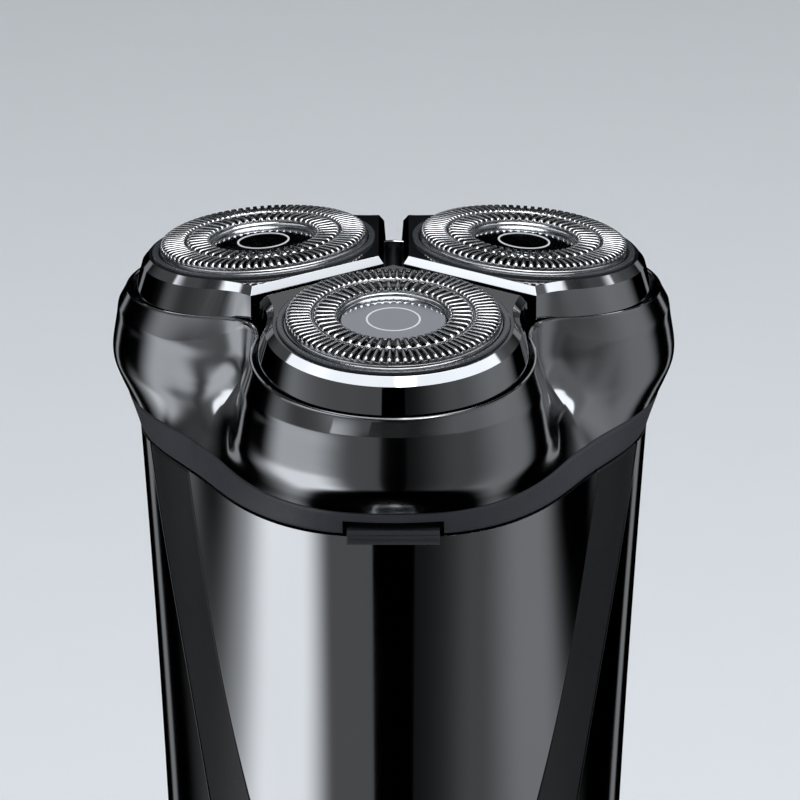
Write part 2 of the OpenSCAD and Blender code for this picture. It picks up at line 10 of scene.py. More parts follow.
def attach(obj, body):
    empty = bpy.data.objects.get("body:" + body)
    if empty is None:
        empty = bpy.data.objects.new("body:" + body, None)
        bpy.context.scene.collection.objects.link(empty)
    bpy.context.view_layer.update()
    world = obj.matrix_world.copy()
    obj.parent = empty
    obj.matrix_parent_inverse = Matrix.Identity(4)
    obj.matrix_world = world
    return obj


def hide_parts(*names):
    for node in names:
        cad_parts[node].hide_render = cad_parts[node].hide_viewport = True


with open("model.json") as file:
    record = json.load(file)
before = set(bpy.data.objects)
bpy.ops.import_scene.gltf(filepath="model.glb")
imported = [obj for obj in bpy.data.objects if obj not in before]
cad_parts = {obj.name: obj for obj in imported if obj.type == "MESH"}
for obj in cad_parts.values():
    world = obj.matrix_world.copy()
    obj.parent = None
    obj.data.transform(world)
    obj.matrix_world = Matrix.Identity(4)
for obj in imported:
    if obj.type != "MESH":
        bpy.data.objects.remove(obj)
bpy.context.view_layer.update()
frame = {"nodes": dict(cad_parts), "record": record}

MM = 0.001
LOBES = (0, 1, 2)
FRONT = -90.0
VALLEY = 60.0
STEP = 120.0

# driving sizes, the same as the CAD model's
RIM_Z = 135.0
SHELL_Z = RIM_Z + 3.5
LIP_Z = RIM_Z + 15.7
CUTTER_Z = RIM_Z + 20.5
HANDLE_TOP = RIM_Z - 0.15
HANDLE_BOTTOM = 2.1
CUTTER_CIRCLE = 16.7
TILT = math.radians(5.0)
GUARD_R = 11.45
SEAT_R = 12.4
SLOT_HALF = 1.2
NECK_TIP, NECK_FLAT, BASE_R = 28.9, 24.4, 24.4
RIM_TIP, RIM_FLAT, RIM_START, RIM_END = NECK_TIP + 2.1, NECK_FLAT - 0.4, 8.0, 58.0
ROUND_H = 20.0
WALL = 1.8
SEAM = 0.14
BUTTON_Z = RIM_Z - 61.0
LENS_Z = BUTTON_Z - 15.0
BUTTON_FRONT = 26.3
POD_TOP_W, POD_UNDER_W, POD_SKIRT_W = -1.3, -4.5, -5.6
HEAD_WALL = 1.6
CATCH_HALF = 4.85
HINGE_HALF = 8.0
HINGE_DEPTH, CATCH_DEPTH = (20, 30), (-32, -24)


# ---------- outlines ----------

def ramp(t):
    t = min(max(t, 0.0), 1.0)
    return t * t * (3.0 - 2.0 * t)


def mix(a, b, t):
    return a + (b - a) * t


def off_axis(phi):
    return abs((phi - FRONT + VALLEY + 3 * STEP) % STEP - VALLEY)


def soft_r(phi, tip, flat, start=12.0, end=VALLEY):
    return tip - (tip - flat) * ramp((off_axis(phi) - start) / (end - start))


def lobed_r(phi, a, rv):
    """Three discs of radius a round the cutter circle, filleted to radius rv in the valleys."""
    c, d = CUTTER_CIRCLE, off_axis(phi)
    f = (a * a - c * c - rv * rv + c * rv) / (2 * rv - c - 2 * a)
    far = rv + f
    cx, cy = far * math.cos(math.radians(VALLEY)), far * math.sin(math.radians(VALLEY))
    n = math.hypot(cx - c, cy)
    limit = math.degrees(math.atan2(a * cy / n, c + a * (cx - c) / n))
    if d <= limit:
        return c * math.cos(math.radians(d)) + math.sqrt(max(a * a - (c * math.sin(math.radians(d))) ** 2, 0))
    turn = math.radians(VALLEY - d)
    return far * math.cos(turn) - math.sqrt(max(f * f - (far * math.sin(turn)) ** 2, 0))


def rise(z):
    return max(z - ROUND_H, 0.0) / (RIM_Z - ROUND_H)


def handle_r(phi, z):
    return soft_r(phi, mix(BASE_R, NECK_TIP, rise(z) ** 1.75), mix(BASE_R, NECK_FLAT, rise(z)))


def narrowing(below):
    return ramp((below + 18.0) / 88.0)


def panel_edge(z):
    below = RIM_Z - z
    if below < 58:
        return 70 - 47 * narrowing(below) / narrowing(58)
    return 23 + 11 * ramp((below - 58) / 75)


def grip_edge(z):
    return panel_edge(z) + 21


# head shell: (height above the rim's top, lobe radius, valley radius, share of the soft outline)
SHELL_LEVELS = [(0, 17.1, 20.6, 1), (1.5, 17.15, 20.6, 0.6), (3, 17.1, 20, 0.25), (4.2, 16.9, 19.6, 0.06),
                (5.4, 16.7, 19.3, 0), (6.6, 16.5, 19, 0), (7.8, 16.3, 18.7, 0), (9.2, 16.1, 18.3, 0),
                (13.2, 15.0, 18.0, 0)]
SADDLE_R, FUNNEL_FROM, FUNNEL_RISE, FUNNEL_LEAN = 21.8, 1.6, 6.0, 0.15
PLAIN_A = 16.0
LIP_A, LIP_RV, LIP_T = 15.2, 18.0, 0.45


def level_at(h):
    """Shell parameters at height h, on a Catmull-Rom curve through the levels."""
    k = max(i for i in range(len(SHELL_LEVELS) - 1) if SHELL_LEVELS[i][0] <= h + 1e-9)
    p1, p2 = SHELL_LEVELS[k], SHELL_LEVELS[k + 1]
    p0, p3 = SHELL_LEVELS[max(k - 1, 0)], SHELL_LEVELS[min(k + 2, len(SHELL_LEVELS) - 1)]
    reach = p2[0] - p1[0]
    t = (h - p1[0]) / reach
    out = []
    for q in (1, 2, 3):
        m1 = (p2[q] - p0[q]) / (p2[0] - p0[0]) * reach
        m2 = (p3[q] - p1[q]) / (p3[0] - p1[0]) * reach
        out.append((2 * t**3 - 3 * t**2 + 1) * p1[q] + (t**3 - 2 * t**2 + t) * m1
                   + (3 * t**2 - 2 * t**3) * p2[q] + (t**3 - t**2) * m2)
    out[2] = min(max(out[2], 0.0), 1.0)
    return out


def shell_r(phi, h):
    """The shell's wall: shallow saddles between the lobes low down, a funnel towards the top of each.

    Where the lobes are narrower than PLAIN_A, under the lip, the wall is plainly lobed.
    """
    a, rv, soft = level_at(h)
    funnel = ramp((h - FUNNEL_FROM - FUNNEL_LEAN * (VALLEY - off_axis(phi))) / FUNNEL_RISE)
    wall = lobed_r(phi, a, rv)
    if a > PLAIN_A:
        wall = mix(lobed_r(phi, a, SADDLE_R), wall, funnel)
    return mix(wall, soft_r(phi, RIM_TIP, RIM_FLAT, RIM_START, RIM_END), soft)


def lip_height(phi):
    r = lobed_r(phi, LIP_A, LIP_RV)
    return LIP_Z - math.tan(TILT) * (r * math.cos(math.radians(off_axis(phi))) - CUTTER_CIRCLE)


# ---------- mesh helpers ----------

def polar(r, phi, z):
    p = math.radians(phi)
    return (r * math.cos(p), r * math.sin(p), z)


def at_lobe(i):
    """Matrix, in millimetres, of the frame of cutter i: u across, -y outward, z along the cutter's axis."""
    return (Matrix.Rotation(math.radians(STEP * i), 4, "Z")
            @ Matrix.Translation((0, -CUTTER_CIRCLE, CUTTER_Z))
            @ Matrix.Rotation(TILT, 4, "X"))


def build(name, verts, faces, sharp=35.0, place=None):
    mesh = bpy.data.meshes.new(name)
    points = [Vector(v) for v in verts]
    if place is not None:
        points = [place @ v for v in points]
    mesh.from_pydata([v * MM for v in points], [], faces)
    bm = bmesh.new()
    bm.from_mesh(mesh)
    bmesh.ops.remove_doubles(bm, verts=bm.verts, dist=1e-7)
    bmesh.ops.recalc_face_normals(bm, faces=bm.faces)
    bm.to_mesh(mesh)
    bm.free()
    mesh.shade_smooth()
    mesh.set_sharp_from_angle(angle=math.radians(sharp))
    obj = bpy.data.objects.new(name, mesh)
    bpy.context.scene.collection.objects.link(obj)
    return obj


def add_bevel(obj, width, segments=2, angle=32.0):
    mod = obj.modifiers.new("edge", "BEVEL")
    mod.width = width * MM
    mod.segments = segments
    mod.limit_method = "ANGLE"
    mod.angle_limit = math.radians(angle)
    mod.harden_normals = True
    mod.use_clamp_overlap = True


def ring_faces(n, rings, joined, base=0):
    faces = []
    for j in range(rings if joined else rings - 1):
        a, b = base + j * n, base + ((j + 1) % rings) * n
        for i in range(n):
            k = (i + 1) % n
            faces.append((a + i, a + k, b + k, b + i))
    return faces


def ring_loft(name, rings, joined=True, **kw):
    n = len(rings[0])
    faces = ring_faces(n, len(rings), joined)
    if not joined:
        faces += [tuple(range(n - 1, -1, -1)), tuple((len(rings) - 1) * n + i for i in range(n))]
    return build(name, [p for ring in rings for p in ring], faces, **kw)


def lathe(name, profile, steps=128, closed=True, place=None, **kw):
    """A turned piece: profile is a list of (radius, height); closed joins its last point to its first."""
    rings = [[polar(r, 360.0 * k / steps, z) for k in range(steps)] for r, z in profile]
    return ring_loft(name, rings, joined=closed, place=place, **kw)


def arc(cx, cz, r, a0, a1, n=5):
    turns = [math.radians(mix(a0, a1, k / n)) for k in range(n + 1)]
    return [(cx + r * math.cos(t), cz + r * math.sin(t)) for t in turns]


def cylinder(r, z0, z1, place, steps):
    """A cylinder to cut with."""
    ends = [[polar(r, 360 * k / steps, z) for k in range(steps)] for z in (z0, z1)]
    return ring_loft("cutting_cylinder", ends, joined=False, place=place)


def subtract(obj, tool, sharp=30):
    """Cuts the tool out of a piece, for good, and removes the tool."""
    mod = obj.modifiers.new("cut", "BOOLEAN")
    mod.operation = "DIFFERENCE"
    mod.solver = "EXACT"
    mod.object = tool
    graph = bpy.context.evaluated_depsgraph_get()
    done = bpy.data.meshes.new_from_object(obj.evaluated_get(graph))
    obj.modifiers.clear()
    obj.data = done
    bpy.data.objects.remove(tool)
    obj.data.shade_smooth()
    obj.data.set_sharp_from_angle(angle=math.radians(sharp))


def cut(obj, x, y, z):
    """Cuts a box out of a piece."""
    corners = [(i, j, k) for i in x for j in y for k in z]
    quads = [(0, 1, 3, 2), (4, 6, 7, 5), (0, 4, 5, 1), (2, 3, 7, 6), (0, 2, 6, 4), (1, 5, 7, 3)]
    subtract(obj, build("cutting_box", corners, quads))


# ---------- materials ----------

BUMP_DISTANCE = 0.0001


def material(name, base, metallic=0.0, roughness=0.4, **sockets):
    """A Principled material; returns it with its node tree and shader."""
    mat = bpy.data.materials.new(name)
    mat.use_nodes = True
    tree = mat.node_tree
    shader = tree.nodes["Principled BSDF"]
    shader.inputs["Base Color"].default_value = (*base, 1)
    shader.inputs["Metallic"].default_value = metallic
    shader.inputs["Roughness"].default_value = roughness
    for key, value in sockets.items():
        shader.inputs[key.replace("_", " ")].default_value = value
    return mat, tree, shader


def coords(tree, scale=(1, 1, 1)):
    tex = tree.nodes.new("ShaderNodeTexCoord")
    mapping = tree.nodes.new("ShaderNodeMapping")
    mapping.inputs["Scale"].default_value = scale
    tree.links.new(tex.outputs["Object"], mapping.inputs["Vector"])
    return mapping.outputs["Vector"]


def noise(tree, vector, scale, detail=3.0, rough=0.55):
    node = tree.nodes.new("ShaderNodeTexNoise")
    node.inputs["Scale"].default_value = scale
    node.inputs["Detail"].default_value = detail
    node.inputs["Roughness"].default_value = rough
    tree.links.new(vector, node.inputs["Vector"])
    return node.outputs["Fac"]


def span(tree, value, low, high, t0=0.3, t1=0.7):
    node = tree.nodes.new("ShaderNodeMapRange")
    node.inputs["From Min"].default_value = t0
    node.inputs["From Max"].default_value = t1
    node.inputs["To Min"].default_value = low
    node.inputs["To Max"].default_value = high
    tree.links.new(value, node.inputs["Value"])
    return node.outputs["Result"]


def tint(tree, value, dark, light):
    node = tree.nodes.new("ShaderNodeMix")
    node.data_type = "RGBA"
    node.inputs["A"].default_value = (*dark, 1)
    node.inputs["B"].default_value = (*light, 1)
    tree.links.new(value, node.inputs["Factor"])
    return node.outputs["Result"]


def bump(tree, shader, height, strength):
    node = tree.nodes.new("ShaderNodeBump")
    node.inputs["Strength"].default_value = strength
    node.inputs["Distance"].default_value = BUMP_DISTANCE
    tree.links.new(height, node.inputs["Height"])
    tree.links.new(node.outputs["Normal"], shader.inputs["Normal"])


def lacquer(name, base, rough):
    """Dark chrome lacquer: nearly a mirror, with a faint ripple and a little handling haze."""
    mat, tree, shader = material(name, base, 1.0, rough,
                                 Coat_Weight=0.35, Coat_Roughness=0.02, Coat_IOR=1.5)
    haze = noise(tree, coords(tree, (1, 1, 0.4)), 70, 5.0)
    tree.links.new(span(tree, haze, rough * 0.7, rough * 1.5, 0.35, 0.7), shader.inputs["Roughness"])
    dark = tuple(c * 0.93 for c in base)
    tree.links.new(tint(tree, span(tree, haze, 0, 1), dark, base), shader.inputs["Base Color"])
    bump(tree, shader, noise(tree, coords(tree), 160, 1.0), 0.01)
    return mat


def moulded(name, base, rough, grain, depth, lighter=1.35):
    """Moulded plastic with a fine spark-eroded grain and broad, faint patches of a lighter tone."""
    mat, tree, shader = material(name, base, 0.0, rough, Specular_IOR_Level=0.45)
    vector = coords(tree)
    fine = noise(tree, vector, grain, 2.0)
    broad = noise(tree, vector, 90, 3.0)
    light = tuple(min(c * lighter, 1) for c in base)
    tree.links.new(tint(tree, span(tree, broad, 0, 0.6), base, light), shader.inputs["Base Color"])
    tree.links.new(span(tree, fine, rough * 0.85, rough * 1.15), shader.inputs["Roughness"])
    bump(tree, shader, fine, depth)
    return mat


def gloss_black(name):
    """Piano black: nearly clean, with a faint haze of polish marks."""
    base, rough = (0.006, 0.0062, 0.007), 0.06
    mat, tree, shader = material(name, base, 0.0, rough,
                                 Specular_IOR_Level=0.6, Coat_Weight=0.5, Coat_Roughness=0.03)
    haze = noise(tree, coords(tree, (1, 1, 2.5)), 140, 5.0)
    tree.links.new(span(tree, haze, rough * 0.7, rough * 1.8), shader.inputs["Roughness"])
    tree.links.new(tint(tree, span(tree, haze, 0, 1), base, tuple(c * 1.8 for c in base)),
                   shader.inputs["Base Color"])
    return mat


def steel(name, base, rough, stretch, scale, depth):
    """Ground or polished metal with fine directional grain."""
    mat, tree, shader = material(name, base, 1.0, rough)
    grain = noise(tree, coords(tree, stretch), scale, 4.0, 0.65)
    dark = tuple(c * 0.82 for c in base)
    tree.links.new(tint(tree, span(tree, grain, 0, 1), dark, base), shader.inputs["Base Color"])
    tree.links.new(span(tree, grain, rough * 0.75, rough * 1.4), shader.inputs["Roughness"])
    bump(tree, shader, grain, depth)
    return mat


def smoked_clear(name):
    """Smoked, nearly clear plastic."""
    mat, tree, shader = material(name, (0.1, 0.11, 0.125), 0.0, 0.08,
                                 Transmission_Weight=0.55, IOR=1.49, Specular_IOR_Level=0.6)
    haze = noise(tree, coords(tree), 300, 3.0)
    tree.links.new(span(tree, haze, 0.06, 0.14), shader.inputs["Roughness"])
    return mat


def frosted_lens(name):
    """Milky plastic over the indicator lamp."""
    mat, tree, shader = material(name, (0.72, 0.77, 0.82), 0.0, 0.3, Subsurface_Weight=0.3, Coat_Weight=0.4)
    haze = noise(tree, coords(tree), 1500, 3.0)
    tree.links.new(span(tree, haze, 0.22, 0.4), shader.inputs["Roughness"])
    tree.links.new(tint(tree, haze, (0.64, 0.69, 0.74), (0.8, 0.84, 0.88)), shader.inputs["Base Color"])
    return mat


def board_mask(name):
    """Solder mask with copper tracks showing as lighter lines."""
    mat, tree, shader = material(name, (0.01, 0.13, 0.05), 0.0, 0.3, Coat_Weight=0.4)
    brick = tree.nodes.new("ShaderNodeTexBrick")
    brick.inputs["Scale"].default_value = 260
    brick.inputs["Mortar Size"].default_value = 0.03
    brick.inputs["Color1"].default_value = (0.008, 0.11, 0.04, 1)
    brick.inputs["Color2"].default_value = (0.01, 0.14, 0.055, 1)
    brick.inputs["Mortar"].default_value = (0.03, 0.28, 0.1, 1)
    tree.links.new(coords(tree), brick.inputs["Vector"])
    tree.links.new(brick.outputs["Color"], shader.inputs["Base Color"])
    return mat


MATERIALS = {
    "handle_gloss": lacquer("handle_gloss", (0.3, 0.305, 0.32), 0.07),
    "panel_gloss": lacquer("panel_gloss", (0.6, 0.61, 0.63), 0.07),
    "shell_gloss": lacquer("shell_gloss", (0.52, 0.53, 0.55), 0.11),
    "grip_satin": moulded("grip_satin", (0.013, 0.0135, 0.0155), 0.36, 3400, 0.16),
    "rim_matte": moulded("rim_matte", (0.05, 0.051, 0.06), 0.45, 2600, 0.14),
    "pod_gloss": gloss_black("pod_gloss"),
    "pod_band": lacquer("pod_band", (0.5, 0.51, 0.53), 0.04),
    "guard_steel": steel("guard_steel", (0.6, 0.61, 0.63), 0.2, (1, 1, 1), 900, 0.04),
    "cap_dark": lacquer("cap_dark", (0.5, 0.52, 0.56), 0.1),
    "cap_ring": moulded("cap_ring", (0.55, 0.57, 0.6), 0.35, 900, 0.05),
    "seat_clear": smoked_clear("seat_clear"),
    "cutter_steel": steel("cutter_steel", (0.1, 0.103, 0.11), 0.35, (1, 1, 3), 800, 0.1),
    "inner_plastic": moulded("inner_plastic", (0.035, 0.036, 0.04), 0.45, 1800, 0.2),
    "inner_metal": steel("inner_metal", (0.5, 0.51, 0.53), 0.28, (1, 1, 6), 600, 0.08),
    "gear_plastic": moulded("gear_plastic", (0.62, 0.56, 0.42), 0.42, 1500, 0.08, 1.1),
    "spring_steel": steel("spring_steel", (0.6, 0.61, 0.62), 0.18, (1, 1, 2), 900, 0.06),
    "seal_rubber": moulded("seal_rubber", (0.012, 0.012, 0.013), 0.6, 1200, 0.3),
    "motor_can": steel("motor_can", (0.45, 0.46, 0.48), 0.3, (1, 1, 9), 500, 0.1),
    "battery_wrap": moulded("battery_wrap", (0.03, 0.12, 0.32), 0.25, 300, 0.05, 1.2),
    "board_green": board_mask("board_green"),
    "lens_white": frosted_lens("lens_white"),
    "bezel_chrome": steel("bezel_chrome", (0.7, 0.71, 0.72), 0.12, (1, 1, 1), 400, 0.03),
    "base_matte": moulded("base_matte", (0.02, 0.0205, 0.023), 0.55, 1400, 0.3),
}
SLOTS = {row["node"]: row["material_slot"] for row in frame["record"]["subparts"]}


def dress(obj, name):
    obj.data.materials.clear()
    obj.data.materials.append(MATERIALS[name])


for node_name, node in frame["nodes"].items():
    dress(node, SLOTS[node_name])


def finish_piece(obj, body, nodes, look):
    """Gives a piece its material and its body, and hides the CAD nodes it stands for."""
    dress(obj, look)
    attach(obj, body)
    if nodes:
        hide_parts(*nodes)


# ---------- handle ----------

def wall_piece(name, first, last, rows, cols):
    """A curved wall of the handle between two edges, each a function of height."""
    rings = []
    for j in range(rows + 1):
        z = mix(HANDLE_BOTTOM, HANDLE_TOP, j / rows)
        p, q = first(z), last(z)
        turns = [mix(p, q, i / cols) for i in range(cols + 1)]
        rings.append([polar(handle_r(phi, z), phi, z) for phi in turns]
                     + [polar(handle_r(phi, z) - WALL, phi, z) for phi in reversed(turns)])
    n = len(rings[0])
    faces = ring_faces(n, len(rings), False)
    for base, flip in ((0, False), (rows * n, True)):
        for i in range(cols):
            quad = (base + i, base + i + 1, base + n - 2 - i, base + n - 1 - i)
            faces.append(quad[::-1] if flip else quad)
    return build(name, [p for ring in rings for p in ring], faces)


def panel_hole(r, z):
    """A cylinder along Y, for cutting a round hole in the front panel."""
    place = Matrix.Translation((0, -20, z)) @ Matrix.Rotation(math.radians(90), 4, "X")
    return cylinder(r, 0, 12, place, 96)


gap = math.degrees(SEAM / BASE_R)
panel = wall_piece("front_panel_shell", lambda z: FRONT - panel_edge(z),
                   lambda z: FRONT + panel_edge(z), 110, 60)
subtract(panel, panel_hole(6.85, BUTTON_Z))
subtract(panel, panel_hole(1.5, LENS_Z))
add_bevel(panel, 0.25, 3)
finish_piece(panel, "root", ["front_panel"], "panel_gloss")

back = wall_piece("rear_shell_wall", lambda z: FRONT + grip_edge(z) + gap,
                  lambda z: FRONT + 360 - grip_edge(z) - gap, 90, 110)
HINGE_SPAN = (-HINGE_HALF - 0.4, HINGE_HALF + 0.4)
CATCH_SPAN = (-CATCH_HALF - 0.45, CATCH_HALF + 0.45)
cut(back, HINGE_SPAN, HINGE_DEPTH, (RIM_Z - 2.2, RIM_Z + 2))
add_bevel(back, 0.25, 3)
finish_piece(back, "root", ["rear_shell"], "handle_gloss")

for side, label in ((-1, "left"), (1, "right")):
    def inner_edge(z, s=side):
        return FRONT + s * (panel_edge(z) + gap)

    def outer_edge(z, s=side):
        return FRONT + s * grip_edge(z)
    edges = (inner_edge, outer_edge) if side > 0 else (outer_edge, inner_edge)
    grip = wall_piece(f"{label}_grip_strip", edges[0], edges[1], 110, 16)
    add_bevel(grip, 0.3, 3)
    finish_piece(grip, "root", [f"{label}_grip"], "grip_satin")

# button, bezel and lens face the front
facing = Matrix.Rotation(math.radians(90), 4, "X")
at_button = Matrix.Translation((0, 0, BUTTON_Z)) @ facing
bezel = lathe("button_ring", [(6.4, 23.3), (6.72, 23.3), (6.72, 25.82), (7.5, 25.82)]
              + arc(7.2, 26.1, 0.28, 0, 90, 4) + arc(6.65, 26.1, 0.26, 90, 180, 4), 160, place=at_button)
finish_piece(bezel, "root", ["button_bezel"], "bezel_chrome")
button = lathe("round_button", [(0, 20.4), (1.6, 20.4), (1.6, 23.4), (6.3, 23.4), (6.3, BUTTON_FRONT - 0.5)]
               + arc(5.9, BUTTON_FRONT - 0.42, 0.4, 0, 90, 5)
               + [(4.9, BUTTON_FRONT - 0.02), (4.5, BUTTON_FRONT - 0.22), (3, BUTTON_FRONT - 0.3),
                  (0, BUTTON_FRONT - 0.32)], 160, closed=False, place=at_button, sharp=50)
finish_piece(button, "button", ["power_button"], "pod_gloss")

# a generic ring set in the button's face
mark = lathe("button_mark", [(1.5, BUTTON_FRONT - 0.34), (1.72, BUTTON_FRONT - 0.34),
                             (1.72, BUTTON_FRONT - 0.28), (1.5, BUTTON_FRONT - 0.28)], 96, place=at_button)
finish_piece(mark, "button", [], "bezel_chrome")

at_lens = Matrix.Translation((0, 0, LENS_Z)) @ facing
lens = lathe("indicator_window", [(0, 22.6), (1.45, 22.6), (1.45, 24.9)] + arc(1.25, 24.9, 0.2, 0, 80, 4)
             + [(0, 25.1)], 64, closed=False, place=at_lens, sharp=50)
finish_piece(lens, "root", ["indicator_lens"], "lens_white")

# ---------- head shell and rim ----------

RING = 480
phis = [360.0 * k / RING for k in range(RING)]
FACET_H = 9.2
FACET_FROM, FACET_RUN, FACET_DROP = 38, 22, 0.5
UNDER_H = 1.5


def facet_height(phi):
    """Height of the lower edge of the facet under the lip: level round a lobe, near the lip in a valley."""
    top = lip_height(phi) - SHELL_Z
    return mix(FACET_H, top - FACET_DROP, ramp((off_axis(phi) - FACET_FROM) / FACET_RUN))


def wall_ring(h_of, inset=0):
    """A ring on the shell's wall, at a height given as a function of the turn."""
    return [polar(shell_r(phi, h_of(phi)) - inset, phi, SHELL_Z + h_of(phi)) for phi in phis]


def lip_ring(inset, drop):
    return [polar(lobed_r(phi, LIP_A, LIP_RV) - inset, phi, lip_height(phi) - drop) for phi in phis]


under = [wall_ring(lambda phi, h=UNDER_H * k / 8: h) for k in range(9)]
wall = [wall_ring(lambda phi, t=k / 44: mix(UNDER_H, facet_height(phi), t)) for k in range(1, 45)]
lip = [lip_ring(*edge) for edge in (
    (-0.1, 0.3), (-0.06, 0.14), (0.0, 0.04), (0.1, 0.0),
    (LIP_T - 0.12, 0.0), (LIP_T - 0.02, 0.05), (LIP_T, 0.16), (LIP_T, 1.6))]
inner = [wall_ring(lambda phi, h=h: h, HEAD_WALL) for h in (8, 7, 5, 3.5, 2, 1, 0)]
shell = ring_loft("head_shell_body", under + wall + lip + inner, sharp=16)
finish_piece(shell, "head", ["head_shell"], "shell_gloss")


def rim_ring(t, inset, z):
    """The rim's outline, from the neck's (t = 0) to the shell's underside (t = 1)."""
    out = []
    for phi in phis:
        neck, top = soft_r(phi, NECK_TIP, NECK_FLAT), soft_r(phi, RIM_TIP, RIM_FLAT, RIM_START, RIM_END)
        out.append(polar(mix(neck, top, t) - inset, phi, z))
    return out


rim_low, rim_high = RIM_Z + 0.3, SHELL_Z - 0.35
rim_levels = [(0, 1.6, RIM_Z + 0.1), (0, 0.22, RIM_Z + 0.1), (0, 0.06, RIM_Z + 0.16)]
rim_levels += [(mix(0.05, 0.94, k / 8), 0, mix(rim_low, rim_high, k / 8)) for k in range(9)]
rim_levels += [(1, 0.08, SHELL_Z - 0.2), (1, 0.16, SHELL_Z - 0.09), (1, 0.4, SHELL_Z - 0.05),
               (1, 1.9, SHELL_Z - 0.05)]
rim = ring_loft("head_rim_band", [rim_ring(*level) for level in rim_levels], sharp=28)
cut(rim, HINGE_SPAN, HINGE_DEPTH, (RIM_Z - 1, RIM_Z + 1.65))
cut(rim, CATCH_SPAN, CATCH_DEPTH, (RIM_Z - 1, RIM_Z + 2.1))
add_bevel(rim, 0.12, 2, 50)
finish_piece(rim, "head", ["head_rim"], "rim_matte")

# ---------- pods ----------

POD_ARC_STEPS = 72
POD_RINGS = ((14.55, 17.3, 0, POD_SKIRT_W), (14.55, 17.3, 0, POD_UNDER_W - 0.4),
             (13.55, 17.1, 0, POD_TOP_W - 0.85), (12.75, 16.5, 0.5, POD_TOP_W))
SEAT_FLOOR_W, SKIRT_INNER_R, CUTTER_HOLE_R = -2.75, 13.4, 9.2


def pod_ring(a, rv, inset, w):
    """A pod's outline at level w of its cutter's frame: a wedge with its tip at the head's middle."""
    edge = VALLEY - math.degrees(math.asin((SLOT_HALF + inset) / rv))
    tip = (SLOT_HALF + inset) / math.sin(math.radians(VALLEY))
    ring = [(0, CUTTER_CIRCLE - tip, w)]
    for k in range(POD_ARC_STEPS + 1):
        phi = FRONT + mix(-edge, edge, k / POD_ARC_STEPS)
        x, y, _ = polar(lobed_r(phi, a, rv), phi, w)
        ring.append((x, y + CUTTER_CIRCLE, w))
    return ring


for i in LOBES:
    place = at_lobe(i)
    body = f"tilting_pod_{i + 1}"
    pod = ring_loft(f"pod_body_{i + 1}", [pod_ring(*level) for level in POD_RINGS],
                    joined=False, place=place, sharp=20)
    subtract(pod, cylinder(SEAT_R, SEAT_FLOOR_W, 4, place, 160))
    subtract(pod, cylinder(SKIRT_INNER_R, -9, POD_UNDER_W, place, 160))
    subtract(pod, cylinder(CUTTER_HOLE_R, -9, 0, place, 160), 11)
    add_bevel(pod, 0.13, 2, 25)
    finish_piece(pod, body, [f"pod_{i + 1}"], "pod_gloss")
    # the chamfers and the outer walls take a look of their own
    pod.data.materials.append(MATERIALS["pod_band"])
    inverse = place.inverted()
    for face in pod.data.polygons:
        centre = inverse @ (face.center / MM)
        normal = inverse.to_3x3() @ face.normal
        if normal.z < 0.9 and math.hypot(centre.x, centre.y) > SEAT_R + 0.05:
            face.material_index = 1

    ring = lathe(f"seat_ring_body_{i + 1}",
                 [(GUARD_R + 0.2, -2.7), (SEAT_R - 0.03, -2.7), (SEAT_R - 0.03, -1.2)]
                 + arc(SEAT_R - 0.2, -1.17, 0.17, 0, 90, 4)
                 + [(GUARD_R + 0.35, -1.0), (GUARD_R + 0.2, -1.15)],
                 160, place=place)
    finish_piece(ring, body, [f"seat_ring_{i + 1}"], "seat_clear")

# ---------- guards ----------

# profiles are (radius, height) in the cutter's frame; a track's slots run between two places of its profile
OUTER_SLOTS, INNER_SLOTS = 84, 48
OUTER_TRACK = [(8.62, -0.3), (8.7, -0.12), (8.86, -0.02), (9.1, 0.0), (10.7, 0.0), (11.05, -0.06),
               (11.28, -0.2), (11.4, -0.42), (11.43, -0.75)]
INNER_TRACK = [(5.95, -0.55), (5.99, -0.28), (6.12, -0.08), (6.4, -0.01), (8.0, -0.01), (8.28, -0.07),
               (8.42, -0.2), (8.46, -0.3)]
GROOVE = [(8.46, -0.3), (8.62, -0.3)]
CAP_WALL = [(5.7, -1.1), (5.9, -1.0), (5.95, -0.55)]
GUARD_SKIRT = [(11.43, -0.75), (11.43, -1.02), (11.55, -1.06), (11.57, -1.18), (11.52, -1.3), (11.4, -1.32),
               (11.4, -2.6)]
GUARD_STEPS = 252
GUARD_THICKNESS = 0.22
CAP_PROFILE = ([(0, -1.12), (5.6, -1.12), (5.6, -0.98)] + arc(5.45, -1.0, 0.15, 20, 90, 3)
               + [(3.1, -0.85), (0, -0.85)])
CAP_RING_PROFILE = [(2.68, -0.9), (2.92, -0.9), (2.9, -0.81), (2.8, -0.79), (2.7, -0.81)]


def track(verts, faces, profile, count, slot_from, slot_to, share):
    """One track of a guard: a turned strip with slots left open between two places of its profile."""
    half = 180.0 / count
    columns = [2 * half * k + f * half for k in range(count) for f in (-1, -share, share)]
    n = len(columns)
    base = len(verts)
    for r, z in profile:
        verts.extend(polar(r, phi, z) for phi in columns)
    for j in range(len(profile) - 1):
        for c in range(n):
            if c % 3 == 1 and slot_from <= j < slot_to:
                continue
            d = (c + 1) % n
            faces.append((base + j * n + c, base + j * n + d, base + (j + 1) * n + d, base + (j + 1) * n + c))


